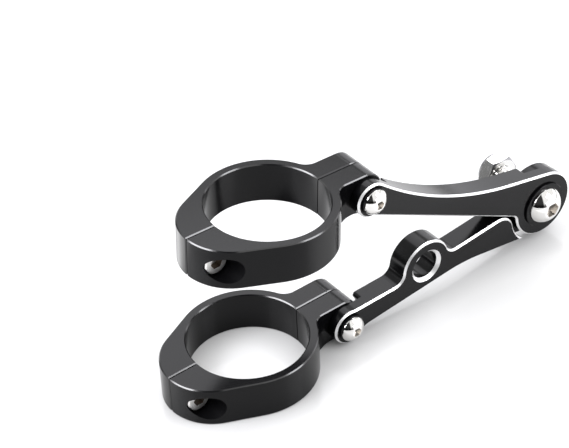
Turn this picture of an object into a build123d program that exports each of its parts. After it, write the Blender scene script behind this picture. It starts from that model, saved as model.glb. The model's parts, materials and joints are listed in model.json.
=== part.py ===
from build123d import *
from math import asin, atan2, cos, degrees, dist, hypot, radians, sin, sqrt, tan
import os

os.makedirs("parts", exist_ok=True)

# Frame: millimetres, +Z up. The origin is the middle of the lower clamp's bore.
# +X runs from the fork towards the headlight. The bolt heads face -Y, the outer side.

# Fork clamps
FORK_D = 41.0            # bore that closes on the fork tube
RING_WALL = 3.15         # wall of the ring beside the bore
CLAMP_H = 14.6           # height along the fork
NOSE_R = 17.7            # radius of the blunt nose
NOSE_BACK = 14.2         # nose centre behind the bore axis
SPLIT = 0.4              # gap between the two halves
EDGE = 0.35              # broken edge on the black parts

# Clamp lug, which carries the arm
LUG_W = 16.0             # across the lug, along the pivot
LUG_X = 33.8             # pivot ahead of the bore axis
PIVOT_Z = 7.1            # pivot above the clamp's bottom face
LUG_LOW = 0.3            # lug's underside above that face
LUG_LINE = 0.3           # depth of the line where the inner lug's round end starts
LUG_FILLET = 5.0         # blend from ring to lug, in plan
ARCH_RISE = 0.95         # hollow of the lug's underside
ARCH_START = 0.85        # where that hollow starts, outside the ring
ARCH_SHARE = 0.75        # its length, as a share of the way to the pivot

# Clamp screw, M5 cap head
CAP_D = 5.0
CAP_HEAD_D = 8.5
CAP_HEAD_H = 5.0
CAP_HEX = 4.0
CAP_HEX_DEEP = 2.5
CAP_LENGTH = 12.0
CAP_X = -25.7            # screw axis from the bore axis
CAP_Z = 7.0
SEAT = 2.7               # metal between the head's seat and the split plane
COUNTERBORE_D = 9.4

# Arms
EYE_T = 4.3              # thickness of an eye on the outer layer
ARM_T = 8.2              # full thickness of an arm
UPPER_L = 86.3           # pivot to headlight bolt
LOWER_L = 87.4
UPPER_EYE_R = 6.3        # eye on the clamp's lug
LOWER_EYE_R = 6.5
OUTER_END_R = 12.4       # upper arm's eye at the headlight
INNER_END_R = 12.2       # lower arm's eye at the headlight
UPPER_SHOULDER_R = 9.4   # hollow shoulder round the upper lug's end
LOWER_SHOULDER_R = 8.6   # hollow shoulder round the lower lug's end
END_SHOULDER_R = 13.3    # upper arm's hollow shoulder round the lower arm's eye
FAR_SHOULDER_R = 14.2    # lower arm's hollow shoulder round the upper arm's eye
BRIGHT = 0.62            # bright chamfer round the outer face

# Upper arm outline
UPPER_FALL = 13.5        # degrees, top edge down from the clamp eye
UPPER_RISE = 15.5        # degrees, top edge up to the headlight eye
WAIST_SHARE = 0.955      # how much of its shorter straight side the waist's curve takes
UPPER_UNDER = 5.5        # straight lower edge below the pivot line
END_FILLET = 3.0         # lower edge into the headlight eye
LAP_R = 6.6              # rounded corners where the arms fold together
TOP_CORNER = 1.2         # small rounded corners of the shoulders

# Lower arm outline
LOWER_EDGE = 6.1         # top edge above the clamp pivot
LOWER_FALL = 4.0         # degrees, top edge down from the clamp eye
NECK_R = 8.0             # hollow where that edge leaves the eye
LOWER_TOP = 5.0          # top edge beyond the boss
LOWER_UNDER = 3.4        # straight lower edge below the pivot line
BEND_U = 0.57            # where the lower edge bends, as a share of the arm
BEND_R = 60.0
EYE_FILLET = 4.0
BOSS_U = 34.0            # indicator boss from the clamp pivot, along the arm
BOSS_V = 5.6             # and above the pivot line
BOSS_R = 9.9
BOSS_FILLET = 4.0
STEM_D = 10.5            # hole for the indicator's stem
STEM_CHAMFER = 1.1

# Pivot bolts, M5 button head, and their washers
PIVOT_D = 5.0
PIVOT_HEAD_D = 9.2
PIVOT_HEAD_H = 2.5
PIVOT_HEX = 3.0
PIVOT_HEX_DEEP = 1.6
PIVOT_LENGTH = 20.0
PIVOT_WASHER_D = 10.0
PIVOT_WASHER_T = 0.8

# Headlight bolt, M8 button head, its washer and its lock nut
LIGHT_D = 8.0
LIGHT_HEAD_D = 13.6
LIGHT_HEAD_H = 4.0
LIGHT_HEX = 5.0
LIGHT_HEX_DEEP = 2.6
LIGHT_LENGTH = 28.0
LIGHT_WASHER_D = 17.0
LIGHT_WASHER_T = 0.8
NUT_AF = 13.0
NUT_HEX_H = 5.0
NUT_COLLAR_H = 1.5
NUT_PAST_END = 0.75      # nut's end beyond the bolt's end
INSERT_D = 9.8
INSERT_T = 1.7

# Clearances
RUN = 0.08               # radial, an arm turning on its bolt
FACE_GAP = 0.05          # under a washer
LAP_GAP = 0.10           # between faces that turn on each other
DRILL = 0.15             # radial, a bolt through a plain hole
THREAD = 0.02            # radial, a bolt in the hole that takes its thread

# Rest pose, as photographed
LOWER_TILT = 5.1         # degrees, lower arm above level
SPREAD = 33.2            # degrees between the arms
UPPER_LEAN = 3.3         # degrees, upper clamp against the lower one

# Derived positions
BORE_R = FORK_D / 2
RING_R = BORE_R + RING_WALL
LUG_R = (CLAMP_H - LUG_LOW) / 2
LUG_TIP = LUG_X + LUG_R
FACE_EYE = LUG_W / 2 + LAP_GAP
FACE_OUT = FACE_EYE + EYE_T
FACE_IN = FACE_OUT - ARM_T
LIFT = radians(LOWER_TILT)
DROP = radians(SPREAD - LOWER_TILT)
LOWER_PIVOT = (LUG_X, PIVOT_Z - CLAMP_H / 2)
LIGHT = (LOWER_PIVOT[0] + LOWER_L * cos(LIFT), LOWER_PIVOT[1] + LOWER_L * sin(LIFT))
UPPER_PIVOT = (LIGHT[0] - UPPER_L * cos(DROP), LIGHT[1] + UPPER_L * sin(DROP))


def disc(r, u=0.0, v=0.0):
    return Pos(u, v) * Circle(r)


def rod(r, y0, y1, x=0.0, z=0.0):
    """A cylinder along Y from y0 to y1."""
    return Pos(x, (y0 + y1) / 2, z) * Rot(90, 0, 0) * Cylinder(r, abs(y1 - y0))


def round_at(sketch, point, r):
    """Rounds the sketch's corner nearest to the point."""
    corner = sketch.vertices().sort_by_distance((point[0], point[1], 0))[0]
    return fillet(corner, r)


def outward(shape, y, x=0.0, z=0.0):
    """Turns a part made along +Z to face -Y and sets its base at y."""
    return Pos(x, y, z) * Rot(90, 0, 0) * shape


# Fork clamp, whole, before it is split
def clamp_blank():
    plan = make_hull([*disc(RING_R).edges(), *disc(NOSE_R, -NOSE_BACK).edges()])
    plan += Pos(LUG_TIP / 2, 0) * Rectangle(LUG_TIP, LUG_W)
    root_x = sqrt(RING_R ** 2 - (LUG_W / 2) ** 2)
    for side in (1, -1):
        plan = round_at(plan, (root_x, side * LUG_W / 2), LUG_FILLET)
    body = extrude(plan, CLAMP_H)
    back = -2 * RING_R
    low = LUG_LOW
    arch_a = RING_R + ARCH_START
    arch_b = arch_a + (LUG_X - arch_a) * ARCH_SHARE
    outline = Line((back, 0), (arch_a, 0))
    outline += ThreePointArc((arch_a, 0), ((arch_a + arch_b) / 2, ARCH_RISE), (arch_b, low))
    outline += Line((arch_b, low), (LUG_X, low))
    outline += ThreePointArc((LUG_X, low), (LUG_TIP, low + LUG_R), (LUG_X, CLAMP_H))
    outline += Polyline((LUG_X, CLAMP_H), (back, CLAMP_H), (back, 0))
    view = round_at(make_face(outline), (arch_a, 0), ARCH_RISE)
    view = round_at(view, (arch_b, low), ARCH_RISE)
    body = body & extrude(Plane.XZ * view, RING_R * 2, both=True)
    top = body.faces().filter_by(Axis.Z).sort_by(Axis.Z)[-1]
    body = chamfer(top.outer_wire().edges().sort_by(Axis.X)[0], EDGE)
    body -= Pos(0, 0, CLAMP_H / 2) * Cylinder(BORE_R, CLAMP_H * 2)
    mouths = [e for e in body.edges().filter_by(GeomType.CIRCLE) if abs(e.radius - BORE_R) < 0.001]
    body = chamfer(mouths, EDGE)
    groove = (SPLIT / 2 + EDGE) * sqrt(2)
    bar = Rot(45, 0, 0) * Box(4 * RING_R, groove, groove)
    body -= bar
    body -= Pos(0, 0, CLAMP_H) * bar
    return body - Pos(-NOSE_BACK - NOSE_R, 0, 0) * Rot(0, 0, 45) * Box(groove, groove, CLAMP_H * 3)


def clamp_half(side):
    """One half, side -1 for the outer one with the screw's head and +1 for the inner one."""
    reach = 4 * RING_R
    keep = Pos(0, side * (reach / 2 + SPLIT / 2), CLAMP_H / 2) * Box(2 * reach, reach, 2 * CLAMP_H)
    half = clamp_blank() & keep
    wall = RING_R * 2
    if side < 0:
        half -= rod(COUNTERBORE_D / 2, -wall, -SEAT, CAP_X, CAP_Z)
        half -= rod(CAP_D / 2 + DRILL, -SEAT - 1, 1, CAP_X, CAP_Z)
        half -= rod(PIVOT_D / 2 + DRILL, -wall, 1, LUG_X, PIVOT_Z)
    else:
        half -= rod(CAP_D / 2 + THREAD, -1, CAP_LENGTH - SEAT + 1.0, CAP_X, CAP_Z)
        half -= rod(PIVOT_D / 2 + THREAD, -1, wall, LUG_X, PIVOT_Z)
        line = LUG_LINE * sqrt(2)
        half -= Pos(LUG_X, 0, CLAMP_H) * Rot(0, 45, 0) * Box(line, 2 * LUG_W, line)
    return half


# Screws and bolts are made along Z with the head's seat at zero and the shank below it
def shank(d, length):
    body = Pos(0, 0, -length / 2) * Cylinder(d / 2, length)
    return chamfer(body.edges().sort_by(Axis.Z)[0], d * 0.1)


def socket(af, deep, top):
    hexagon = RegularPolygon(af / sqrt(3), 6)
    return Pos(0, 0, top - deep) * extrude(hexagon, deep * 2)


def cap_screw():
    head = Pos(0, 0, CAP_HEAD_H / 2) * Cylinder(CAP_HEAD_D / 2, CAP_HEAD_H)
    head = chamfer(head.edges().sort_by(Axis.Z)[-1], CAP_HEAD_D * 0.05)
    return head + shank(CAP_D, CAP_LENGTH) - socket(CAP_HEX, CAP_HEX_DEEP, CAP_HEAD_H)


def button_bolt(d, length, head_d, head_h, af, deep):
    r = head_d / 2
    rim = head_h * 0.12
    crown = af * 0.68
    # The dome is part of a ball whose centre lies on the axis
    centre = (r ** 2 - crown ** 2 + rim ** 2 - head_h ** 2) / (2 * (rim - head_h))
    ball = sqrt(r ** 2 + (rim - centre) ** 2)
    half_way = (r + crown) / 2
    bulge = (half_way, centre + sqrt(ball ** 2 - half_way ** 2))
    outline = Polyline((0, head_h), (0, 0), (r, 0), (r, rim))
    outline += ThreePointArc((r, rim), bulge, (crown, head_h))
    outline += Line((crown, head_h), (0, head_h))
    head = revolve(Plane.XZ * make_face(outline), Axis.Z)
    return head + shank(d, length) - socket(af, deep, head_h)


def washer(d, hole_r, t):
    ring = Pos(0, 0, t / 2) * Cylinder(d / 2, t)
    ring = chamfer(ring.edges(), t * 0.18)
    return ring - Pos(0, 0, t / 2) * Cylinder(hole_r, t * 2)


def corner_on(r, v, u0, toward):
    """Where a straight edge at height v meets the circle of radius r about u0."""
    return (u0 + toward * sqrt(r ** 2 - v ** 2), v)


# Arms are drawn in their own frame, u from the clamp pivot to the headlight bolt and v above it
def upper_web():
    fall = radians(UPPER_FALL)
    rise = radians(UPPER_RISE)
    start = (UPPER_EYE_R * sin(fall), UPPER_EYE_R * cos(fall))
    end = (UPPER_L - OUTER_END_R * sin(rise), OUTER_END_R * cos(rise))
    run = (start[1] + start[0] * tan(fall) - end[1] + end[0] * tan(rise)) / (tan(fall) + tan(rise))
    dip = (run, end[1] - (end[0] - run) * tan(rise))
    points = [start, dip, end, (UPPER_L, 0), (UPPER_L, -UPPER_UNDER), (0, -UPPER_UNDER), (0, 0)]
    web = make_face(Polyline(*points, close=True))
    leg = min(dist(start, dip), dist(dip, end))
    return round_at(web, dip, WAIST_SHARE * leg / tan((fall + rise) / 2))


def upper_outline():
    shape = upper_web() + disc(UPPER_EYE_R) + disc(OUTER_END_R, UPPER_L)
    return round_at(shape, corner_on(OUTER_END_R, -UPPER_UNDER, UPPER_L, -1), END_FILLET)


def lower_outline():
    fall = radians(LOWER_FALL)
    start = (LOWER_EDGE * sin(fall), LOWER_EDGE * cos(fall))
    left = start[1] - (BOSS_U - start[0]) * tan(fall)
    bend = (BEND_U * LOWER_L, -LOWER_UNDER)
    far = hypot(LOWER_L - bend[0], LOWER_UNDER)
    turn = atan2(LOWER_UNDER, LOWER_L - bend[0]) - asin(INNER_END_R / far)
    leg = sqrt(far ** 2 - INNER_END_R ** 2)
    foot = (bend[0] + leg * cos(turn), bend[1] + leg * sin(turn))
    points = [start, (BOSS_U, left), (BOSS_U, LOWER_TOP), (LOWER_L, LOWER_TOP), (LOWER_L, 0)]
    points += [foot, bend, (0, -LOWER_UNDER), (0, 0)]
    web = make_face(Polyline(*points, close=True))
    web = round_at(web, bend, BEND_R)
    shape = web + disc(LOWER_EYE_R) + disc(INNER_END_R, LOWER_L)
    heel = (sqrt(LOWER_EYE_R ** 2 - LOWER_UNDER ** 2), -LOWER_UNDER)
    shape = round_at(shape, heel, EYE_FILLET)
    reach = sqrt(LOWER_EYE_R ** 2 - LOWER_EDGE ** 2)
    shape = round_at(shape, (start[0] + reach * cos(fall), start[1] - reach * sin(fall)), NECK_R)
    height = BOSS_V + BOSS_R + LOWER_UNDER
    room = Pos(BOSS_U, height / 2 - LOWER_UNDER) * Rectangle(2 * BOSS_R, height)
    shape += disc(BOSS_R, BOSS_U, BOSS_V) & room
    right_u = BOSS_U + sqrt(BOSS_R ** 2 - (LOWER_TOP - BOSS_V) ** 2)
    shape = round_at(shape, (right_u, LOWER_TOP), BOSS_FILLET)
    left_u = BOSS_U - BOSS_R
    left_v = start[1] - (left_u - start[0]) * tan(fall)
    return round_at(shape, (left_u, left_v), BOSS_FILLET)


def layers(outer, inner):
    """An arm from the drawings of its outer and inner layers."""
    top = extrude(Plane.XZ.offset(FACE_EYE) * outer, EYE_T)
    base = extrude(Plane.XZ.offset(FACE_IN) * inner, ARM_T - EYE_T)
    arm = top + base
    faces = arm.faces().filter_by(Axis.Y).sort_by(Axis.Y)
    arm = chamfer(faces[0].outer_wire().edges(), BRIGHT)
    faces = arm.faces().filter_by(Axis.Y).sort_by(Axis.Y)
    return chamfer(faces[-1].outer_wire().edges(), EDGE)


def make_upper_arm():
    inner = upper_web() - disc(UPPER_SHOULDER_R) - disc(END_SHOULDER_R, UPPER_L)
    inner = Sketch() + inner.faces().sort_by(SortBy.AREA)[-1]
    tip = inner.vertices().sort_by(Axis.Y)[-1]
    inner = fillet(tip, TOP_CORNER)
    inner = round_at(inner, corner_on(END_SHOULDER_R, -UPPER_UNDER, UPPER_L, -1), LAP_R)
    arm = layers(upper_outline(), inner)
    arm -= rod(PIVOT_D / 2 + RUN, -FACE_OUT - 1, 0)
    return arm - rod(LIGHT_D / 2 + RUN, -FACE_OUT - 1, 0, UPPER_L)


def make_lower_arm():
    outline = lower_outline()
    outer = outline - disc(FAR_SHOULDER_R, LOWER_L)
    outer = Sketch() + outer.faces().sort_by(SortBy.AREA)[-1]
    outer = round_at(outer, corner_on(FAR_SHOULDER_R, LOWER_TOP, LOWER_L, -1), LAP_R)
    inner = outline - disc(LOWER_SHOULDER_R)
    inner = Sketch() + inner.faces().sort_by(SortBy.AREA)[-1]
    inner = round_at(inner, corner_on(LOWER_SHOULDER_R, LOWER_TOP, 0, 1), TOP_CORNER)
    arm = layers(outer, inner)
    arm -= rod(FAR_SHOULDER_R, -FACE_OUT - 1, -FACE_EYE + LAP_GAP, LOWER_L)
    arm -= rod(STEM_D / 2, -FACE_OUT - 1, 0, BOSS_U, BOSS_V)
    deep = STEM_CHAMFER + 1
    sink = Cone(STEM_D / 2, STEM_D / 2 + deep, deep, align=(Align.CENTER, Align.CENTER, Align.MIN))
    arm -= outward(sink, -FACE_OUT + STEM_CHAMFER, BOSS_U, BOSS_V)
    arm -= rod(PIVOT_D / 2 + RUN, -FACE_OUT - 1, 0)
    return arm - rod(LIGHT_D / 2 + RUN, -FACE_OUT - 1, 0, LOWER_L)


# Lock nut, made along Z with its bearing face at zero
def make_nut():
    height = NUT_HEX_H + NUT_COLLAR_H
    corner = NUT_AF / sqrt(3)
    flat = NUT_AF / 2
    bevel = corner - flat * 0.97
    hexagon = extrude(RegularPolygon(corner, 6), NUT_HEX_H)
    outline = Polyline(
        (0, 0),
        (flat * 0.97, 0),
        (corner, bevel * 0.6),
        (corner, NUT_HEX_H - bevel * 0.6),
        (flat * 0.97, NUT_HEX_H),
        (0, NUT_HEX_H),
        close=True,
    )
    body = hexagon & revolve(Plane.XZ * make_face(outline), Axis.Z)
    collar = Cone(flat * 0.95, flat * 0.88, NUT_COLLAR_H, align=(Align.CENTER, Align.CENTER, Align.MIN))
    collar = Pos(0, 0, NUT_HEX_H) * chamfer(collar.edges().sort_by(Axis.Z)[-1], NUT_COLLAR_H * 0.3)
    lip = height * 0.03
    body = body + collar
    body -= Pos(0, 0, height / 2) * Cylinder(LIGHT_D / 2 + THREAD, height * 2)
    body -= Pos(0, 0, height - lip - INSERT_T / 2) * Cylinder(INSERT_D / 2, INSERT_T)
    return body - Pos(0, 0, height) * Cylinder(INSERT_D / 2 * 0.93, lip * 2)


def make_insert():
    height = NUT_HEX_H + NUT_COLLAR_H
    lip = height * 0.03
    ring = Cylinder(INSERT_D / 2, INSERT_T) - Cylinder(LIGHT_D / 2 + THREAD, INSERT_T * 2)
    return Pos(0, 0, height - lip - INSERT_T / 2) * ring


# Stack on each bolt, outwards from the arm's face
washer_y = -FACE_OUT - FACE_GAP
pivot_seat = washer_y - PIVOT_WASHER_T
light_seat = washer_y - LIGHT_WASHER_T
nut_face = light_seat + LIGHT_LENGTH + NUT_PAST_END - NUT_HEX_H - NUT_COLLAR_H

# Placing: each clamp about its bore, each arm about its clamp pivot
lower_place = Pos(0, 0, -CLAMP_H / 2)
lean = Rot(0, UPPER_LEAN, 0)
pivot_in_clamp = Pos(LUG_X, 0, PIVOT_Z)
upper_pivot_place = Pos(UPPER_PIVOT[0], 0, UPPER_PIVOT[1])
upper_place = upper_pivot_place * lean * pivot_in_clamp.inverse()
lower_arm_place = Pos(LOWER_PIVOT[0], 0, LOWER_PIVOT[1]) * Rot(0, -LOWER_TILT, 0)
upper_arm_place = upper_pivot_place * Rot(0, degrees(DROP), 0)

parts = {}
pivot_bolt = button_bolt(PIVOT_D, PIVOT_LENGTH, PIVOT_HEAD_D, PIVOT_HEAD_H, PIVOT_HEX, PIVOT_HEX_DEEP)
pivot_washer = washer(PIVOT_WASHER_D, PIVOT_D / 2 + DRILL, PIVOT_WASHER_T)
outer_half = clamp_half(-1)
inner_half = clamp_half(1)
screw = outward(cap_screw(), -SEAT, CAP_X, CAP_Z)
for name, place in (("lower", lower_place), ("upper", upper_place)):
    parts[name + "_clamp_outer_half"] = place * outer_half
    parts[name + "_clamp_inner_half"] = place * inner_half
    parts[name + "_clamp_screw"] = place * screw
    parts[name + "_pivot_bolt"] = place * outward(pivot_bolt, pivot_seat, LUG_X, PIVOT_Z)
    parts[name + "_pivot_washer"] = place * outward(pivot_washer, washer_y, LUG_X, PIVOT_Z)

parts["upper_arm"] = upper_arm_place * make_upper_arm()
parts["lower_arm"] = lower_arm_place * make_lower_arm()
light_bolt = button_bolt(LIGHT_D, LIGHT_LENGTH, LIGHT_HEAD_D, LIGHT_HEAD_H, LIGHT_HEX, LIGHT_HEX_DEEP)
light_washer = washer(LIGHT_WASHER_D, LIGHT_D / 2 + DRILL, LIGHT_WASHER_T)
parts["headlight_bolt"] = outward(light_bolt, light_seat, *LIGHT)
parts["headlight_bolt_washer"] = outward(light_washer, washer_y, *LIGHT)
inward = Pos(LIGHT[0], nut_face, LIGHT[1]) * Rot(-90, 0, 0)
parts["lock_nut"] = inward * make_nut()
parts["lock_nut_insert"] = inward * make_insert()

for name, shape in parts.items():
    solids = shape.solids()
    print(name, len(solids), "solid", round(shape.volume, 1), "mm3", "valid" if shape.is_valid else "NOT VALID")
    export_step(solids[0] if len(solids) == 1 else shape, "parts/" + name + ".step")
print("lower pivot", LOWER_PIVOT, "upper pivot", UPPER_PIVOT, "headlight bolt", LIGHT)
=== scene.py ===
# %% [markdown]
# # A headlight bracket for a motorcycle fork
#
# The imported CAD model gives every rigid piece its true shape: two split fork clamps, two arms,
# and the screws, bolts, washers and nut that join them. This lesson dresses that model. It gives
# each piece a finish, makes the threaded bolts and ribbed screws with Geometry Nodes, and sets
# up a plain white studio with the camera where the photographer stood.

import bpy
import json
import math
from mathutils import Matrix, Vector


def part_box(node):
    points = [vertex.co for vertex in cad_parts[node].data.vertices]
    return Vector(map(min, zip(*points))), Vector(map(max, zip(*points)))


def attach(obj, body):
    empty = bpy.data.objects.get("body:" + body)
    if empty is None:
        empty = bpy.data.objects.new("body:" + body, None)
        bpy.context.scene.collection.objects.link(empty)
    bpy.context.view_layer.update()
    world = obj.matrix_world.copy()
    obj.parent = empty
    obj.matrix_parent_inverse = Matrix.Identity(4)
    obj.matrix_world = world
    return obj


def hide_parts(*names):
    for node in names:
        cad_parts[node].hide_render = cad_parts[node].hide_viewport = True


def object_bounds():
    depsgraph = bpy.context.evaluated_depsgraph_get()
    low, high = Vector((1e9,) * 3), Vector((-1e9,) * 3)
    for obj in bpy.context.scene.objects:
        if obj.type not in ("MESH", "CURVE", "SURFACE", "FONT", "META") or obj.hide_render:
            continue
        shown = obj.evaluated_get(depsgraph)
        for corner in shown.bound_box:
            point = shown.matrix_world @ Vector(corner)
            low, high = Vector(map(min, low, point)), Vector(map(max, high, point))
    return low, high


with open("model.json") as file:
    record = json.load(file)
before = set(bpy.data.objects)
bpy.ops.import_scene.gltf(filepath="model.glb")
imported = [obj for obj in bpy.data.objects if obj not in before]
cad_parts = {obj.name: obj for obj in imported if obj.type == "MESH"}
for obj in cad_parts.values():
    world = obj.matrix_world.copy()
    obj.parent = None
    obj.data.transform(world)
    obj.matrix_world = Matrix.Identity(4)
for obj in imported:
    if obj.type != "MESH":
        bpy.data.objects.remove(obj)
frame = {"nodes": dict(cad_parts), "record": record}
nodes = frame["nodes"]
cad_low, cad_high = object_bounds()
MM = 0.001
print("CAD nodes:", len(nodes), "box in mm:", [round(v / MM, 1) for v in (*cad_low, *cad_high)])

# %% [markdown]
# ## The camera
#
# A long lens keeps the two clamps nearly the same size, as they are in a product picture. A camera
# can be placed by eye, but here its spot and its three angles come from fitting the round rims of
# both clamps, so that the edges fall where the photograph has them. The camera rolls a little about
# its own axis, because the photographer's horizon was not quite level.

# %% Camera
CAMERA_SPOT = Vector((-299.62, -442.07, 483.04)) * MM
CAMERA_AZIMUTH = math.radians(-35.667)
CAMERA_ELEVATION = math.radians(38.816)
CAMERA_ROLL = math.radians(-3.219)
CAMERA_LENS = 137.07
SENSOR_WIDTH = 36.0


def add_object(name, data):
    """A new object of the scene that holds this data."""
    made = bpy.data.objects.new(name, data)
    bpy.context.scene.collection.objects.link(made)
    return made


def camera_turn(azimuth, elevation, roll):
    """The turn of a camera that stands at this azimuth and elevation and looks at the middle."""
    level = Matrix.Rotation(azimuth, 4, "Z") @ Matrix.Rotation(math.pi / 2 - elevation, 4, "X")
    return level @ Matrix.Rotation(roll, 4, "Z")


camera_data = bpy.data.cameras.new("studio_camera")
camera_data.sensor_fit = "HORIZONTAL"
camera_data.sensor_width = SENSOR_WIDTH
camera_data.lens = CAMERA_LENS
camera_data.clip_start = 0.01
camera_data.clip_end = 20.0
camera = add_object("studio_camera", camera_data)
camera_facing = camera_turn(CAMERA_AZIMUTH, CAMERA_ELEVATION, CAMERA_ROLL)
camera.matrix_world = Matrix.Translation(CAMERA_SPOT) @ camera_facing
bpy.context.scene.camera = camera
line_of_sight = camera_facing.to_3x3() @ Vector((0, 0, -1))
print("camera looks along", [round(v, 3) for v in line_of_sight])

# %% [markdown]
# ## Small helpers for node trees
#
# Materials and Geometry Nodes are both graphs. One helper adds a node and sets its plain values,
# and another joins two sockets, so that each recipe below reads as a short list of steps.


# %% Node helpers
def add_node(tree, kind, **values):
    """Adds a node. A key that names an input socket sets it, and any other key sets a property."""
    node = tree.nodes.new(kind)
    for key, value in values.items():
        name = key.replace("_", " ")
        sockets = [s for s in node.inputs if s.name.lower() == name.lower() and s.enabled]
        if sockets:
            sockets[0].default_value = value
        else:
            setattr(node, key, value)
    return node


def wire(tree, source, target):
    """Joins two sockets, or gives the second one a plain number."""
    if isinstance(source, (int, float)):
        target.default_value = source
    else:
        tree.links.new(source, target)


def cleared_tree(owner):
    """The node tree of a material or a world, emptied."""
    owner.use_nodes = True
    owner.node_tree.nodes.clear()
    return owner.node_tree


def new_material(name):
    """A material with a Principled surface, and its tree."""
    material = bpy.data.materials.new(name)
    tree = cleared_tree(material)
    surface = add_node(tree, "ShaderNodeBsdfPrincipled")
    output = add_node(tree, "ShaderNodeOutputMaterial")
    wire(tree, surface.outputs["BSDF"], output.inputs["Surface"])
    return material, tree, surface


print("node helpers ready")

# %% [markdown]
# ## Finishes that wander
#
# No real finish is the same all over: plating, tumbling and handling leave patches that are a little
# smoother or paler than the rest. A picture could hold such patches, but a noise needs no unwrapping,
# because it is worked out from each point's place on the piece. One noise moves colour and roughness
# together. A finer one becomes a bump, which is the tooth of a skin or the marks of a tool.

# %% Helpers for finishes
FULL_RANGE = (0.0, 1.0)
MARK_DETAIL = 2.0


def fixed_noise(tree, **values):
    """The grey of a noise that is fixed to the piece."""
    place = add_node(tree, "ShaderNodeTexCoord")
    noise = add_node(tree, "ShaderNodeTexNoise", **values)
    wire(tree, place.outputs["Object"], noise.inputs["Vector"])
    return noise.outputs["Fac"]


def mapped(tree, value, source, target=FULL_RANGE, kind="LINEAR"):
    """Maps a value from one range to another."""
    ramp = add_node(tree, "ShaderNodeMapRange", interpolation_type=kind)
    limits = zip(("From Min", "From Max", "To Min", "To Max"), (*source, *target))
    for name, number in limits:
        ramp.inputs[name].default_value = number
    wire(tree, value, ramp.inputs["Value"])
    return ramp.outputs[0]


def wander(tree, surface, noise, colours, roughness):
    """Lets the colour and the roughness of a surface follow one noise."""
    shade = add_node(tree, "ShaderNodeMixRGB")
    for socket, colour in zip(shade.inputs[1:], colours):
        socket.default_value = (*colour, 1)
    wire(tree, noise, shade.inputs[0])
    wire(tree, shade.outputs[0], surface.inputs["Base Color"])
    wire(tree, mapped(tree, noise, FULL_RANGE, roughness), surface.inputs["Roughness"])


def add_marks(tree, surface, scale, strength, depth):
    """Adds a fine bump to a surface."""
    marks = fixed_noise(tree, Scale=scale, Detail=MARK_DETAIL)
    bump = add_node(tree, "ShaderNodeBump", Strength=strength, Distance=depth)
    wire(tree, marks, bump.inputs["Height"])
    wire(tree, bump.outputs[0], surface.inputs["Normal"])


print("finish helpers ready")

# %% [markdown]
# ## Black anodised aluminium
#
# Anodising leaves a satin skin: nearly black, with a soft grey sheen and a very fine tooth. Black
# paint would look alike from far off, but its sheen is even. Here the sheen comes from a weakly
# reflecting surface, and the wandering noise keeps it from looking like paint. The arms shine a
# trace less than the clamps. The broken edges of the clamps shine the most, as edges do after a
# tumble in the polisher, and the deep screw holes are dull.

# %% Black anodised finish
ANODISED_COLOURS = ((0.0026, 0.0026, 0.0030), (0.0040, 0.0040, 0.0045))
ANODISED_NOISE = {"Scale": 900.0, "Detail": 4.0, "Roughness": 0.6}
TOOTH_SCALE = 5200.0
TOOTH_STRENGTH = 0.10
TOOTH_DEPTH = 0.02 * MM


def anodised_finish(name, shine, roughness):
    """A black skin with this shine, whose roughness wanders between two values."""
    material, tree, surface = new_material(name)
    noise = fixed_noise(tree, **ANODISED_NOISE)
    wander(tree, surface, noise, ANODISED_COLOURS, roughness)
    add_marks(tree, surface, TOOTH_SCALE, TOOTH_STRENGTH, TOOTH_DEPTH)
    surface.inputs["Specular IOR Level"].default_value = shine
    print("made", name)
    return material


black_anodised = anodised_finish("black_anodised", 0.15, (0.15, 0.18))
arm_anodised = anodised_finish("arm_anodised", 0.14, (0.15, 0.18))
black_edge = anodised_finish("black_edge", 0.85, (0.15, 0.19))
dull_black = anodised_finish("dull_black", 0.03, (0.50, 0.60))

# %% [markdown]
# ## Bright metals
#
# The chamfers round the arms are cut through the black skin, so bare aluminium shows there as a
# white line. The button heads are polished, the clamp screws and the nut a little duller, and the walls
# of the holes for the key and the bevels of the nut get darker colours, which are painted shade. Each
# could have a recipe of its own. One recipe makes them all, so that they look like one family: full
# metal, a tint, a roughness that wanders, and fine marks.

# %% Bright metal finishes
METAL_NOISE = {"Scale": 260.0, "Detail": 4.0, "Roughness": 0.6}
DULLEST_TINT = 0.94
MARK_STRENGTH = 0.15


def bright_metal(name, colour, roughness, mark_scale, mark_depth):
    """A metal of this colour, whose roughness wanders between two values, with marks on it."""
    material, tree, surface = new_material(name)
    dullest = tuple(DULLEST_TINT * c for c in colour)
    wander(tree, surface, fixed_noise(tree, **METAL_NOISE), (dullest, colour), roughness)
    add_marks(tree, surface, mark_scale, MARK_STRENGTH, mark_depth)
    surface.inputs["Metallic"].default_value = 1.0
    print("made", name)
    return material


cut_aluminium = bright_metal("cut_aluminium", (0.96, 0.96, 0.96), (0.45, 0.50), 3000.0, 0.004 * MM)
polished_steel = bright_metal("polished_steel", (0.80, 0.79, 0.77), (0.05, 0.09), 1500.0, 0.004 * MM)
screw_steel = bright_metal("screw_steel", (0.92, 0.91, 0.89), (0.40, 0.50), 2000.0, 0.008 * MM)
# Painted shade: the walls of the key holes get darker colours than the heads, since little light reaches
# them
key_hole_shade_steel = bright_metal("key_hole_shade_steel", (0.56, 0.53, 0.49), (0.25, 0.35), 2500.0, 0.010 * MM)
deep_key_hole_shade = bright_metal("deep_key_hole_shade", (0.16, 0.13, 0.10), (0.30, 0.40), 2500.0, 0.010 * MM)
# Painted shade: a darker grey for the nut's bevels, so that they show as shaded arcs
nut_bevel_shade = bright_metal("nut_bevel_shade", (0.30, 0.30, 0.31), (0.25, 0.35), 2500.0, 0.006 * MM)
zinc_plate = bright_metal("zinc_plate", (0.76, 0.76, 0.75), (0.12, 0.20), 1800.0, 0.006 * MM)

# %% [markdown]
# ## Black washers and the blue nylon ring
#
# The washers under the heads are gloss black, smoother than the anodised parts, so they get no tooth.
# The nut's locking ring is nylon. A plain blue would look like paint: nylon lets a little light in, so
# it gets some subsurface scatter.

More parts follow.
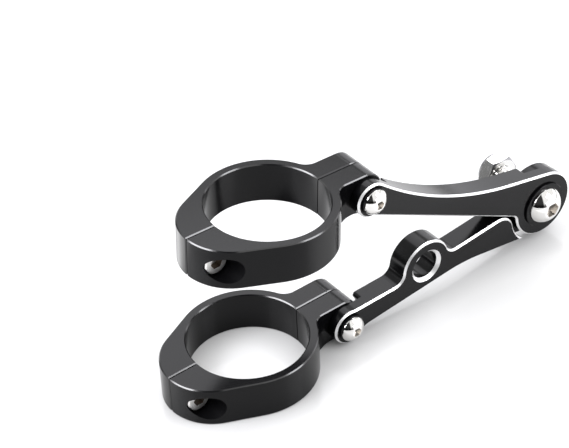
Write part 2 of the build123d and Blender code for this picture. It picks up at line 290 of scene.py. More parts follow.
# %% Washer and nylon finishes
WASHER_COLOURS = ((0.003, 0.003, 0.0035), (0.006, 0.006, 0.0065))
WASHER_SHINE = 0.12
NYLON_COLOURS = ((0.012, 0.075, 0.36), (0.020, 0.110, 0.46))
NYLON_SCATTER_SHARE = 0.15
NYLON_SCATTER_REACH = (0.6 * MM, 0.8 * MM, 1.2 * MM)


def gloss_black():
    """The washers' finish."""
    material, tree, surface = new_material("gloss_black")
    noise = fixed_noise(tree, Scale=400.0, Detail=2.0)
    wander(tree, surface, noise, WASHER_COLOURS, (0.12, 0.20))
    surface.inputs["Specular IOR Level"].default_value = WASHER_SHINE
    return material


def nylon():
    """The locking ring's finish."""
    material, tree, surface = new_material("blue_nylon")
    noise = fixed_noise(tree, Scale=700.0, Detail=3.0)
    wander(tree, surface, noise, NYLON_COLOURS, (0.35, 0.50))
    surface.inputs["Subsurface Weight"].default_value = NYLON_SCATTER_SHARE
    surface.inputs["Subsurface Radius"].default_value = NYLON_SCATTER_REACH
    return material


washer_black = gloss_black()
blue_nylon = nylon()
print("made", washer_black.name, "and", blue_nylon.name)

# %% [markdown]
# ## Finishes on the CAD pieces
#
# The CAD shapes are right, so most of them stay and only get finishes. The record says which finish
# each piece has, so no list of pieces is typed here.

# %% Give the CAD pieces their finishes
FINISH_OF_SLOT = {
    "black_anodised": black_anodised,
    "polished_bolt": polished_steel,
    "bright_screw": screw_steel,
    "bright_nut": zinc_plate,
    "black_washer": washer_black,
    "blue_nylon": blue_nylon,
}
slot_of = {s["node"]: s["material_slot"] for s in frame["record"]["subparts"]}
for name, piece in nodes.items():
    piece.data.materials.clear()
    piece.data.materials.append(FINISH_OF_SLOT[slot_of[name]])
print("finished", len(nodes), "CAD pieces")

# %% [markdown]
# ## Cut chamfers on the arms, bevels on the nut
#
# The bright line round an arm could be a strip of its own, but it is a cut face of the same piece, so
# it is picked out by direction: a face that leans halfway between the outer side and the edge is a cut
# face. The hinges all turn about that sideways axis, so the line is the same in every pose. The bevels
# of the nut lean in the same way, and get a darker grey than its flats as painted shade.

# %% Paint the leaning faces
ARM_CHAMFER = (-0.90, -0.50)
NUT_BEVEL = (0.15, 0.95)


def within(value, limits):
    """True for a value between two limits."""
    return limits[0] < value < limits[1]


def paint_faces(name, finish, is_chosen):
    """Gives a CAD piece a second finish on the faces that pass a test."""
    mesh = nodes[name].data
    mesh.materials.append(finish)
    for face in mesh.polygons:
        face.material_index = int(is_chosen(face))
    count = sum(face.material_index for face in mesh.polygons)
    print(name, "has", finish.name, "on", count, "of", len(mesh.polygons), "faces")


for name in ("upper_arm", "lower_arm"):
    nodes[name].data.materials[0] = arm_anodised
    paint_faces(name, cut_aluminium, lambda face: within(face.normal.y, ARM_CHAMFER))
# Painted shade on the nut's bevels, darker than its flats
paint_faces("lock_nut", nut_bevel_shade, lambda face: within(abs(face.normal.y), NUT_BEVEL))

# %% [markdown]
# ## Broken edges of the clamps
#
# The clamps have a narrow chamfer round the rims, the lugs and the split. Its faces lean halfway
# between the bore's axis and the wall, and at the rounded end of a lug halfway between the pivot and
# the end. A line across the inner lug, where its round end starts, is one more. A test of direction
# finds them all, and needs no list of faces. Directions are measured in each clamp's own frame,
# because the upper one leans a little.

# %% The frame of a clamp
mounts = {m["name"]: m for m in frame["record"]["mounts"]}
hinges = {j["name"]: j for j in frame["record"]["behaviour"]["joints"]}


def clamp_frame(clamp):
    """A clamp's centre, its upward and forward directions, and how far ahead its pivot is."""
    bore = mounts[clamp + "_fork_bore"]
    centre = Vector(bore["pos_m"])
    up = Vector(bore["axis"])
    up = up if up.z > 0 else -up
    ahead = Vector((0, 1, 0)).cross(up)
    reach = (Vector(hinges[clamp + "_pivot"]["pos_m"]) - centre).dot(ahead)
    return centre, up, ahead, reach


for clamp in ("lower", "upper"):
    print(clamp, "clamp: pivot", round(clamp_frame(clamp)[3] / MM, 2), "mm ahead of the bore")

# %% Find the broken edges
# A chamfer leans by about 45 degrees, so near 0.71 of its direction points along an axis
HALFWAY = (0.60, 0.82)
SPLIT_HALFWAY = (0.66, 0.82)
# A direction with less than this along an axis is square to it, or nearly so
CROSSWISE = 0.1
NEARLY_CROSSWISE = 0.3
# Places along a clamp, as shares of the way from the bore's centre to the pivot
RIM_END = 0.80
SLIT_START = 0.63
SPLIT_END = -0.84
# Half the width of the slit's own edges, and of the line across the inner lug
SLIT_REACH = 1.0 * MM
LINE_REACH = 0.4 * MM
# The screw hole's reach as a share of the width of the screw's head
HOLE_SHARE = 0.6


def on_broken_edge(face, clamp, centre, up, ahead, reach):
    """True for a face of the chamfers. The upper slit's own edges are dark, as in the photograph."""
    rise = abs(face.normal.dot(up))
    side = abs(face.normal.y)
    along = (face.center - centre).dot(ahead)
    leans = within(rise, HALFWAY)
    in_slit = clamp == "upper" and abs(face.center.y) < SLIT_REACH and along > SLIT_START * reach
    on_rim = leans and (side > NEARLY_CROSSWISE or along < RIM_END * reach) and not in_slit
    on_lug = along > reach and within(side, HALFWAY)
    on_split = along < SPLIT_END * reach and rise < CROSSWISE and within(side, SPLIT_HALFWAY)
    on_line = leans and side < CROSSWISE and abs(along - reach) < LINE_REACH
    return on_rim or on_lug or on_split or on_line


def in_screw_hole(face, screw_low, screw_high):
    """True for a face of the deep hole round the clamp screw's head."""
    off = face.center - (screw_low + screw_high) / 2
    radius = HOLE_SHARE * (screw_high.x - screw_low.x)
    return abs(face.normal.y) < NEARLY_CROSSWISE and math.hypot(off.x, off.z) < radius


for clamp in ("lower", "upper"):
    place = clamp_frame(clamp)
    screw_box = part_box(clamp + "_clamp_screw")
    for half_name in (clamp + "_clamp_outer_half", clamp + "_clamp_inner_half"):
        mesh = nodes[half_name].data
        mesh.materials.append(black_edge)
        mesh.materials.append(dull_black)
        for face in mesh.polygons:
            if in_screw_hole(face, *screw_box):
                face.material_index = 2
            else:
                face.material_index = int(on_broken_edge(face, clamp, *place))
        edge_area = sum(face.area for face in mesh.polygons if face.material_index == 1)
        print(half_name, "edge area", round(edge_area / MM**2, 1), "mm2")

# %% [markdown]
# ## Geometry Nodes, and a grid that rolls up
#
# A bolt is a turned part: its shape is a radius for each height. A lathe profile could be spun, but a
# thread's radius also changes on the way round. So these trees start from a flat grid and roll it up:
# across the grid is once round the bolt, along the grid is down the bolt, and each point gets its own
# radius and height. The first and the last row close on the axis.


# %% Helpers for Geometry Nodes
def new_tree(name, sizes):
    """A Geometry Nodes tree with these sizes, in metres, and a finish as its named inputs."""
    tree = bpy.data.node_groups.new(name, "GeometryNodeTree")
    for size in sizes:
        tree.interface.new_socket(size, in_out="INPUT", socket_type="NodeSocketFloat")
    tree.interface.new_socket("Finish", in_out="INPUT", socket_type="NodeSocketMaterial")
    tree.interface.new_socket("Geometry", in_out="OUTPUT", socket_type="NodeSocketGeometry")
    given = add_node(tree, "NodeGroupInput").outputs
    result = add_node(tree, "NodeGroupOutput").inputs["Geometry"]
    return tree, given, result


def calc(tree, operation, *values):
    """One step of arithmetic. Each value is a socket or a plain number."""
    node = add_node(tree, "ShaderNodeMath", operation=operation)
    for socket, value in zip(node.inputs, values):
        wire(tree, value, socket)
    return node.outputs[0]


def limited(tree, value):
    """Keeps a value between nought and one."""
    return calc(tree, "MINIMUM", calc(tree, "MAXIMUM", value, 0.0), 1.0)


def squared(tree, value):
    """A value times itself."""
    return calc(tree, "POWER", value, 2)


def parts_of(tree, vector):
    """The three numbers of a vector."""
    split = add_node(tree, "ShaderNodeSeparateXYZ")
    wire(tree, vector, split.inputs[0])
    return split.outputs


def place_of_points(tree):
    """The three numbers of each point's place."""
    return parts_of(tree, add_node(tree, "GeometryNodeInputPosition").outputs[0])


print("Geometry Nodes helpers ready")

# %% Helpers that roll up a grid
MERGE_DISTANCE = 0.001 * MM


def rolled_grid(tree, columns, rows):
    """A flat grid about the origin, with each point's part of a turn and row, and the last row."""
    grid = add_node(tree, "GeometryNodeMeshGrid", Size_X=1.0, Size_Y=1.0, Vertices_X=columns + 1)
    wire(tree, rows, grid.inputs["Vertices Y"])
    spot = place_of_points(tree)
    turn = calc(tree, "ADD", spot[0], 0.5)
    last = calc(tree, "SUBTRACT", rows, 1)
    row = calc(tree, "MULTIPLY", calc(tree, "ADD", spot[1], 0.5), last)
    return grid.outputs["Mesh"], turn, calc(tree, "ROUND", row), last


def between_ends(tree, row, last):
    """One on every row but the first and the last, which close on the axis."""
    after_first = calc(tree, "GREATER_THAN", row, 0.5)
    before_last = calc(tree, "LESS_THAN", row, calc(tree, "SUBTRACT", last, 0.5))
    return calc(tree, "MULTIPLY", after_first, before_last)


def roll_up(tree, grid, turn, radius, height):
    """Rolls the grid into a turned shape and closes its seam and its ends."""
    angle = calc(tree, "MULTIPLY", turn, 2 * math.pi)
    place = add_node(tree, "ShaderNodeCombineXYZ")
    wire(tree, calc(tree, "MULTIPLY", radius, calc(tree, "COSINE", angle)), place.inputs[0])
    wire(tree, calc(tree, "MULTIPLY", radius, calc(tree, "SINE", angle)), place.inputs[1])
    wire(tree, height, place.inputs[2])
    move = add_node(tree, "GeometryNodeSetPosition")
    wire(tree, grid, move.inputs["Geometry"])
    wire(tree, place.outputs[0], move.inputs["Position"])
    merge = add_node(tree, "GeometryNodeMergeByDistance", Distance=MERGE_DISTANCE)
    wire(tree, move.outputs[0], merge.inputs["Geometry"])
    return merge.outputs[0]


print("grid helpers ready")

# %% [markdown]
# ## A screw thread
#
# On a real bolt the thread is rolled: a ridge climbs by one pitch with each turn, flat on its crest
# and in its root, and the end of the bolt is bevelled so that it finds its nut. A ridge could be swept
# along a helix, but it would have to be joined to the shank. Here the radius follows a zigzag wave of
# the height less the turn, which gives one closed skin. It starts a little inside the head.

# %% Thread tree
THREAD_SIZES = ("Diameter", "Pitch", "Length")
THREAD_COLUMNS = 48
ROWS_IN_A_PITCH = 12
# One row more than steps between rows, and two that close the ends
EXTRA_ROWS = 3
THREAD_START = 0.4 * MM
# The zigzag is stretched and lowered, then cut off at nought and one, which makes roots and crests flat
WAVE_STRETCH = 1.5
WAVE_DROP = 0.3
# The depth as a share of the pitch, and the end's radius as a share of the bolt's
DEPTH_SHARE = 0.6
END_SHARE = 0.8


def thread_tree():
    """A threaded shank that hangs below its seat."""
    tree, given, result = new_tree("screw_thread", THREAD_SIZES)
    length = calc(tree, "ADD", given["Length"], THREAD_START)
    turns = calc(tree, "DIVIDE", length, given["Pitch"])
    steps = calc(tree, "ROUND", calc(tree, "MULTIPLY", turns, ROWS_IN_A_PITCH))
    rows = calc(tree, "ADD", steps, EXTRA_ROWS)
    grid, turn, row, last = rolled_grid(tree, THREAD_COLUMNS, rows)
    share = calc(tree, "DIVIDE", calc(tree, "SUBTRACT", row, 1), calc(tree, "SUBTRACT", last, 2))
    share = limited(tree, share)
    height = calc(tree, "SUBTRACT", THREAD_START, calc(tree, "MULTIPLY", share, length))
    wave = calc(tree, "SUBTRACT", calc(tree, "DIVIDE", height, given["Pitch"]), turn)
    wave = calc(tree, "PINGPONG", calc(tree, "MULTIPLY", wave, 2), 1.0)
    crest = limited(tree, calc(tree, "SUBTRACT", calc(tree, "MULTIPLY", wave, WAVE_STRETCH), WAVE_DROP))
    hollow = calc(tree, "MULTIPLY", calc(tree, "SUBTRACT", 1.0, crest), given["Pitch"])
    outer = calc(tree, "MULTIPLY", given["Diameter"], 0.5)
    radius = calc(tree, "SUBTRACT", outer, calc(tree, "MULTIPLY", hollow, DEPTH_SHARE))
    above_end = calc(tree, "ADD", height, given["Length"])
    bevel = calc(tree, "ADD", above_end, calc(tree, "MULTIPLY", outer, END_SHARE))
    radius = calc(tree, "MINIMUM", radius, bevel)
    radius = calc(tree, "MULTIPLY", radius, between_ends(tree, row, last))
    wire(tree, roll_up(tree, grid, turn, radius, height), result)
    return tree


screw_thread = thread_tree()
print("made", screw_thread.name, "with", len(screw_thread.nodes), "nodes")

# %% [markdown]
# ## From a head to a whole fastener
#
# A key turns these bolts, so each head has a six-sided hole. It could be modelled row by row, but the
# head is round and the hole is not, so a prism is cut out of the finished head. Then the thread is
# joined on below, the faces are smoothed except at hard edges, and the finish is set. The walls of
# the hole get a darker colour of their own, which is painted shade, because little light reaches them.

# %% Helpers for heads
# A hexagon's corners lie 0.58 of its width from the axis, so this share takes in the whole hole
KEY_REACH = 0.62
# The walls lie below the top by this much, and end a little under the hole's floor
KEY_TOP_MARGIN = 0.01 * MM
KEY_DEPTH_MARGIN = 1.02
# An upright face points up by less than this, and a hard edge turns by more radians than this
UPRIGHT = 0.5
HARD_EDGE = 0.6


def lifted(tree, shape, height):
    """Moves a shape up."""
    lift = add_node(tree, "ShaderNodeCombineXYZ")
    wire(tree, height, lift.inputs[2])
    move = add_node(tree, "GeometryNodeTransform")
    wire(tree, shape, move.inputs["Geometry"])
    wire(tree, lift.outputs[0], move.inputs["Translation"])
    return move.outputs[0]


def cut_key(tree, given, head):
    """Cuts the six-sided hole for the key in the top of a head."""
    prism = add_node(tree, "GeometryNodeMeshCylinder", Vertices=6)
    wire(tree, calc(tree, "DIVIDE", given["Socket Flats"], math.sqrt(3)), prism.inputs["Radius"])
    wire(tree, calc(tree, "MULTIPLY", given["Socket Depth"], 2), prism.inputs["Depth"])
    cut = add_node(tree, "GeometryNodeMeshBoolean", operation="DIFFERENCE", solver="EXACT")
    wire(tree, head, cut.inputs["Mesh 1"])
    wire(tree, lifted(tree, prism.outputs["Mesh"], given["Head Height"]), cut.inputs["Mesh 2"])
    return cut.outputs["Mesh"]


def add_thread(tree, given, head):
    """Joins the thread to a head."""
    thread = add_node(tree, "GeometryNodeGroup", node_tree=screw_thread)
    for size in THREAD_SIZES:
        wire(tree, given[size], thread.inputs[size])
    join = add_node(tree, "GeometryNodeJoinGeometry")
    wire(tree, head, join.inputs[0])
    wire(tree, thread.outputs[0], join.inputs[0])
    return join.outputs[0]


def realised(tree, shape):
    """Turns instances, if there are any, into plain mesh."""
    real = add_node(tree, "GeometryNodeRealizeInstances")
    wire(tree, shape, real.inputs[0])
    return real.outputs[0]


def smoothed(tree, shape):
    """Smooth faces, with sharp edges where the surface turns hard."""
    smooth = add_node(tree, "GeometryNodeSetShadeSmooth")
    wire(tree, shape, smooth.inputs["Geometry"])
    angle = add_node(tree, "GeometryNodeInputMeshEdgeAngle").outputs[0]
    sharp = add_node(tree, "GeometryNodeSetShadeSmooth", domain="EDGE", Shade_Smooth=False)
    wire(tree, smooth.outputs[0], sharp.inputs["Geometry"])
    wire(tree, calc(tree, "GREATER_THAN", angle, HARD_EDGE), sharp.inputs["Selection"])
    return sharp.outputs[0]


def painted(tree, shape, finish):
    """Gives a shape the finish that comes from a socket."""
    paint = add_node(tree, "GeometryNodeSetMaterial")
    wire(tree, shape, paint.inputs["Geometry"])
    wire(tree, finish, paint.inputs["Material"])
    return paint.outputs[0]


print("head helpers ready")


# %% Finish a fastener
def key_walls(tree, given):
    """One on the upright walls of the key's hole, which get painted shade, nought elsewhere."""
    spot = place_of_points(tree)
    from_axis = calc(tree, "SQRT", calc(tree, "ADD", squared(tree, spot[0]), squared(tree, spot[1])))
    key_radius = calc(tree, "MULTIPLY", given["Socket Flats"], KEY_REACH)
    inside = calc(tree, "LESS_THAN", from_axis, key_radius)
    key_top = calc(tree, "SUBTRACT", given["Head Height"], KEY_TOP_MARGIN)
    below = calc(tree, "LESS_THAN", spot[2], key_top)
    key_depth = calc(tree, "MULTIPLY", given["Socket Depth"], KEY_DEPTH_MARGIN)
    above = calc(tree, "GREATER_THAN", spot[2], calc(tree, "SUBTRACT", given["Head Height"], key_depth))
    facing = parts_of(tree, add_node(tree, "GeometryNodeInputNormal").outputs[0])
    upright = calc(tree, "LESS_THAN", calc(tree, "ABSOLUTE", facing[2]), UPRIGHT)
    in_hole = calc(tree, "MULTIPLY", inside, below)
    on_wall = calc(tree, "MULTIPLY", above, upright)
    return calc(tree, "MULTIPLY", in_hole, on_wall)


def finish_fastener(tree, given, result, head, key_shade_finish):
    """Makes a whole fastener of a head."""
    solid = realised(tree, add_thread(tree, given, cut_key(tree, given, head)))
    coat = painted(tree, smoothed(tree, solid), given["Finish"])
    # Painted shade on the walls of the key's hole
    paint_key = add_node(tree, "GeometryNodeSetMaterial", Material=key_shade_finish)
    wire(tree, coat, paint_key.inputs["Geometry"])
    wire(tree, key_walls(tree, given), paint_key.inputs["Selection"])
    wire(tree, paint_key.outputs[0], result)


print("fastener helpers ready")

# %% [markdown]
# ## The button head
#
# A button head is a slice of a ball with a flat crown round the key and a low rim above the seat. A
# ball could be scaled to fit, but then its curve would no longer be round. Here the ball is worked out
# from the crown and the rim, and the rows of the grid are spread evenly along its arc.

# %% Button bolt tree
FASTENER_SIZES = ("Head Diameter", "Head Height", "Socket Flats", "Socket Depth", *THREAD_SIZES)
DOME_COLUMNS = 64
DOME_STEPS = 16
# Rows of the grid: middle of the top, crown to rim in steps, edge of the seat, middle of the seat
DOME_ROWS = DOME_STEPS + 4
RIM_ROW = DOME_STEPS + 1
# The crown's radius as a share of the key's width, and the rim's height as a share of the head's
CROWN_SHARE = 0.68
RIM_SHARE = 0.12


def dome(tree, outer, crown, rim, top):
    """The height of the centre, and the radius, of the ball through a crown and a rim."""
    across = calc(tree, "SUBTRACT", squared(tree, outer), squared(tree, crown))
    upright = calc(tree, "SUBTRACT", squared(tree, rim), squared(tree, top))
    twice = calc(tree, "MULTIPLY", calc(tree, "SUBTRACT", rim, top), 2)
    centre = calc(tree, "DIVIDE", calc(tree, "ADD", across, upright), twice)
    drop = calc(tree, "SUBTRACT", rim, centre)
    ball = calc(tree, "SQRT", calc(tree, "ADD", squared(tree, outer), squared(tree, drop)))
    return centre, ball


def button_tree():
    """A button bolt, its seat at height nought and its axis upright."""
    tree, given, result = new_tree("button_bolt", FASTENER_SIZES)
    grid, turn, row, last = rolled_grid(tree, DOME_COLUMNS, DOME_ROWS)
    top = given["Head Height"]
    outer = calc(tree, "MULTIPLY", given["Head Diameter"], 0.5)
    crown = calc(tree, "MULTIPLY", given["Socket Flats"], CROWN_SHARE)
    rim = calc(tree, "MULTIPLY", top, RIM_SHARE)
    centre, ball = dome(tree, outer, crown, rim, top)
    lean_crown = calc(tree, "ARCSINE", calc(tree, "DIVIDE", crown, ball))
    lean_rim = calc(tree, "ARCSINE", calc(tree, "DIVIDE", outer, ball))
    share = limited(tree, calc(tree, "DIVIDE", calc(tree, "SUBTRACT", row, 1), DOME_STEPS))
    swing = calc(tree, "MULTIPLY", share, calc(tree, "SUBTRACT", lean_rim, lean_crown))
    lean = calc(tree, "ADD", lean_crown, swing)
    radius = calc(tree, "MULTIPLY", ball, calc(tree, "SINE", lean))
    height = calc(tree, "ADD", centre, calc(tree, "MULTIPLY", ball, calc(tree, "COSINE", lean)))
    above_seat = calc(tree, "LESS_THAN", row, RIM_ROW + 0.5)
    height = calc(tree, "MULTIPLY", height, above_seat)
    radius = calc(tree, "MULTIPLY", radius, between_ends(tree, row, last))
    finish_fastener(tree, given, result, roll_up(tree, grid, turn, radius, height), key_hole_shade_steel)
    return tree


button_bolt = button_tree()
print("made", button_bolt.name, "with", len(button_bolt.nodes), "nodes")

# %% [markdown]
# ## The socket head
#
# A clamp screw has a straight head with a small chamfer, a plain ring and fine ribs for the fingers.
# The ribs could be copies of one rib round a ring. Here they are part of the same skin: below the
# ring, every second column of the grid lies a little further in.

# %% Socket screw tree
RIBS = 36
RIB_DEPTH = 0.14 * MM
RING_HEIGHT = 0.3 * MM
CHAMFER_SHARE = 0.05
# Rows of the grid: middle of the top, then these three, edge of the seat, middle of the seat
TOP_ROW = 1
RING_ROW = 2
RIB_ROW = 3
HEAD_ROWS = 6


def socket_screw_tree():
    """A socket screw, its seat at height nought and its axis upright."""
    tree, given, result = new_tree("socket_screw", FASTENER_SIZES)
    grid, turn, row, last = rolled_grid(tree, 2 * RIBS, HEAD_ROWS)
    chamfer = calc(tree, "MULTIPLY", given["Head Diameter"], CHAMFER_SHARE)
    outer = calc(tree, "MULTIPLY", given["Head Diameter"], 0.5)
    on_top = calc(tree, "LESS_THAN", row, TOP_ROW + 0.5)
    at_ring = calc(tree, "LESS_THAN", row, RING_ROW + 0.5)
    above_seat = calc(tree, "LESS_THAN", row, RIB_ROW + 0.5)
    below_ring = calc(tree, "SUBTRACT", above_seat, at_ring)
    drop = calc(tree, "MULTIPLY", calc(tree, "SUBTRACT", above_seat, on_top), chamfer)
    height = calc(tree, "MULTIPLY", given["Head Height"], above_seat)
    height = calc(tree, "SUBTRACT", height, drop)
    height = calc(tree, "SUBTRACT", height, calc(tree, "MULTIPLY", below_ring, RING_HEIGHT))
    column = calc(tree, "ROUND", calc(tree, "MULTIPLY", turn, 2 * RIBS))
    groove = calc(tree, "MULTIPLY", calc(tree, "PINGPONG", column, 1.0), RIB_DEPTH)
    on_ribs = calc(tree, "SUBTRACT", 1.0, at_ring)
    radius = calc(tree, "SUBTRACT", outer, calc(tree, "MULTIPLY", on_top, chamfer))
    radius = calc(tree, "SUBTRACT", radius, calc(tree, "MULTIPLY", groove, on_ribs))
    radius = calc(tree, "MULTIPLY", radius, between_ends(tree, row, last))
    finish_fastener(tree, given, result, roll_up(tree, grid, turn, radius, height), deep_key_hole_shade)
    return tree


socket_screw = socket_screw_tree()
print("made", socket_screw.name, "with", len(socket_screw.nodes), "nodes")

# %% [markdown]
# ## Put the fasteners in place
#
# A long M8 button bolt holds the headlight, M5 button bolts are the pivots, and M5 socket screws close
# the clamps. Each takes the place of its plain CAD twin. The twin's box gives the axis, the head's
# width and the length, so they are not typed twice, and the rest is as in stock screws. The trees run
# once, and what they make is kept as a plain mesh that rides on the twin's body.


# %% Make a fastener
def run_tree(host, tree, values):
    """Puts a tree on an object, with each of its inputs set by the socket's identifier."""
    maker = host.modifiers.new(tree.name, "NODES")
    maker.node_group = tree
    for item in tree.interface.items_tree:
        if item.in_out == "INPUT":
            maker[item.identifier] = values[item.name]


def evaluated(host):
    """An object as its modifiers make it."""
    return host.evaluated_get(bpy.context.evaluated_depsgraph_get())


def make_fastener(name, tree, sizes, finish):
    """Runs a fastener tree for one set of sizes, and puts the plain mesh where the CAD twin is."""
    low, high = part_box(name)
    head_height = sizes["Head Height"]
    values = {
        **sizes,
        "Head Diameter": high.x - low.x,
        "Length": high.y - low.y - head_height,
        "Finish": finish,
    }
    host = add_object(name + "_maker", bpy.data.meshes.new(name + "_maker"))
    run_tree(host, tree, values)
    mesh = bpy.data.meshes.new_from_object(evaluated(host))
    bpy.data.objects.remove(host)
    seat = Vector(((low.x + high.x) / 2, low.y + head_height, (low.z + high.z) / 2))
    mesh.transform(Matrix.Translation(seat) @ Matrix.Rotation(math.pi / 2, 4, "X"))
    mesh.name = name + "_threaded"
    return add_object(name + "_threaded", mesh)


print("fastener maker ready")

# %% Fasteners
HEADLIGHT_BOLT = {
    "Head Height": 4.0 * MM,
    "Socket Flats": 5.0 * MM,
    "Socket Depth": 2.6 * MM,
    "Diameter": 8.0 * MM,
    "Pitch": 1.25 * MM,
}
PIVOT_BOLT = {
    "Head Height": 2.5 * MM,
    "Socket Flats": 3.0 * MM,
    "Socket Depth": 1.6 * MM,
    "Diameter": 5.0 * MM,
    "Pitch": 0.8 * MM,
}
CLAMP_SCREW = {
    "Head Height": 5.0 * MM,
    "Socket Flats": 4.0 * MM,
    "Socket Depth": 2.5 * MM,
    "Diameter": 5.0 * MM,
    "Pitch": 0.8 * MM,
}
FASTENERS = (
    ("headlight_bolt", button_bolt, HEADLIGHT_BOLT, polished_steel),
    ("upper_pivot_bolt", button_bolt, PIVOT_BOLT, polished_steel),
    ("lower_pivot_bolt", button_bolt, PIVOT_BOLT, polished_steel),
    ("upper_clamp_screw", socket_screw, CLAMP_SCREW, screw_steel),
    ("lower_clamp_screw", socket_screw, CLAMP_SCREW, screw_steel),
)
bodies = frame["record"]["behaviour"]["bodies"]
body_of_node = {node: body for body, members in bodies.items() for node in members}
for name, tree, sizes, finish in FASTENERS:
    piece = make_fastener(name, tree, sizes, finish)
    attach(piece, body_of_node[name])
    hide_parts(name)
    print(piece.name, len(piece.data.polygons), "faces, rides on", body_of_node[name])

# %% [markdown]
# ## White acrylic for the floor
#
# The bracket stands on white acrylic, which mirrors it faintly and comes out white in the picture.
# Strong light would whiten it, but would also fall on the black pieces. So the sheet is grey with a weak
# gloss, which gives the shadow and the mirror image, and it glows for the camera and for mirror-like
# rays only. The glow is weaker near the object, where the sheet's own shade shows, and weakest under a
# piece that nearly touches the sheet, which the Ambient Occlusion node measures: that is painted contact
# shadow. Two patches of painted light are seen by mirror-like rays alone: the walls that face left show
# the one at the back left, and the arms the one at the front right.

# %% Floor finish
FLOOR_GREY = (0.40, 0.40, 0.40, 1)
FLOOR_SHINE = 0.22
FLOOR_ROUGHNESS = 0.14
# The glow's share of white near the object, and the distances between which it rises to white
GLOW_NEAR = 0.45
GLOW_RISE = (0.10, 0.30)
# How far from a piece the painted contact shadow reaches
PAINTED_SHADOW_REACH = 12.0 * MM
# Painted light: two patches that glow for mirror-like rays only
# How much each patch adds, and where it begins and is full, across (X) and along (Y) the floor
PAINTED_LIGHT_PATCHES = (
    (2.2, (0.0, -0.03), (0.05, 0.08)),
    (0.40, (0.03, 0.06), (-0.035, -0.06)),
)


def glow_with_painted_shadow(tree, place, rays):
    """A glow that is white far off, greyer near the object, and darkest as painted contact shadow under
    a near piece.
    """
    distance = add_node(tree, "ShaderNodeVectorMath", operation="LENGTH")
    wire(tree, place, distance.inputs[0])
    rise = mapped(tree, distance.outputs["Value"], GLOW_RISE, (GLOW_NEAR, 1.0), "SMOOTHSTEP")
    seen = calc(tree, "MAXIMUM", rays["Is Camera Ray"], rays["Is Glossy Ray"])
    # Painted shadow: the glow is dimmed where a piece is near
    contact = add_node(tree, "ShaderNodeAmbientOcclusion", Distance=PAINTED_SHADOW_REACH)
    return calc(tree, "MULTIPLY", calc(tree, "MULTIPLY", seen, rise), contact.outputs["AO"])


def with_painted_light(tree, place, rays, glow):
    """Adds the patches of painted light that only mirror-like rays see."""
    spot = parts_of(tree, place)
    for added, across, along in PAINTED_LIGHT_PATCHES:
        patch = rays["Is Glossy Ray"]
        for axis, edge in (("X", across), ("Y", along)):
            inside = mapped(tree, spot[axis], edge, kind="SMOOTHSTEP")
            patch = calc(tree, "MULTIPLY", patch, inside)
        glow = calc(tree, "MULTIPLY_ADD", patch, added, glow)
    return glow


def floor_finish():
    """A grey sheet with a weak gloss and a glow."""
    material = bpy.data.materials.new("white_acrylic")
    tree = cleared_tree(material)
    sheet = add_node(tree, "ShaderNodeBsdfPrincipled", Roughness=FLOOR_ROUGHNESS)
    sheet.inputs["Base Color"].default_value = FLOOR_GREY
    sheet.inputs["Specular IOR Level"].default_value = FLOOR_SHINE
    place = add_node(tree, "ShaderNodeTexCoord").outputs["Object"]
    rays = add_node(tree, "ShaderNodeLightPath").outputs
    glow = with_painted_light(tree, place, rays, glow_with_painted_shadow(tree, place, rays))
    white = add_node(tree, "ShaderNodeEmission", Color=(1, 1, 1, 1))
    wire(tree, glow, white.inputs["Strength"])
    both = add_node(tree, "ShaderNodeAddShader")
    wire(tree, sheet.outputs[0], both.inputs[0])
    wire(tree, white.outputs[0], both.inputs[1])
    output = add_node(tree, "ShaderNodeOutputMaterial")
    wire(tree, both.outputs[0], output.inputs["Surface"])
    return material


white_acrylic = floor_finish()
print("made", white_acrylic.name)

# %% [markdown]
# ## A floor that stays under the object
#
# A pose can swing the arms down below the height at which the bracket stands now. A fixed floor would
# cut through them, so this one is a small Geometry Nodes tree that gathers every CAD piece, finds the
# lowest point and lays the sheet just under it. Its modifier stays live, because a pose comes after
# this script. The floor is only a stage, and no part of the object.

# %% Floor
FLOOR_SIZES = {"Width": 6.0, "Clearance": 0.05 * MM}


def floor_tree():
    """A level sheet just under the lowest piece."""
    tree, given, result = new_tree("floor_under_object", FLOOR_SIZES)
    gathered = add_node(tree, "GeometryNodeJoinGeometry")
    for node in nodes.values():
        piece = add_node(tree, "GeometryNodeObjectInfo", transform_space="RELATIVE", Object=node)
        wire(tree, piece.outputs["Geometry"], gathered.inputs[0])
    box = add_node(tree, "GeometryNodeBoundBox")
    wire(tree, gathered.outputs[0], box.inputs[0])
    lowest = parts_of(tree, box.outputs["Min"])[2]
    sheet = add_node(tree, "GeometryNodeMeshGrid", Vertices_X=2, Vertices_Y=2)
    wire(tree, given["Width"], sheet.inputs["Size X"])
    wire(tree, given["Width"], sheet.inputs["Size Y"])
    height = calc(tree, "SUBTRACT", lowest, given["Clearance"])
    laid = realised(tree, lifted(tree, sheet.outputs["Mesh"], height))
    wire(tree, painted(tree, laid, given["Finish"]), result)
    return tree


floor = add_object("floor", bpy.data.meshes.new("floor"))
run_tree(floor, floor_tree(), {**FLOOR_SIZES, "Finish": white_acrylic})
print("floor at", round(evaluated(floor).data.vertices[0].co.z / MM, 2), "mm")

# %% [markdown]
# ## The room
#
# Black pieces show little but what they mirror, so the room matters as much as the lights. It is white
# above and grey low down, as the lower walls of a studio are. A dark upright gap stands where the
# camera does, and the polished heads show it as a dark wedge. The walls could be built as meshes, but
# a world needs no meshes and never cuts into a view. The camera itself sees plain white.

# %% World
CEILING_LEVEL = 1.15
WALL_LEVEL = 0.12
# The walls turn from grey to white between these upward parts of a direction
WALL_RISE = (0.12, 0.45)
# The gap's share of the light, then in degrees half its width, its blur and its turn from the camera
GAP_SHARE = 0.04
GAP_HALF_WIDTH = 26.0
GAP_BLUR = 3.0
GAP_TURN = -9.0


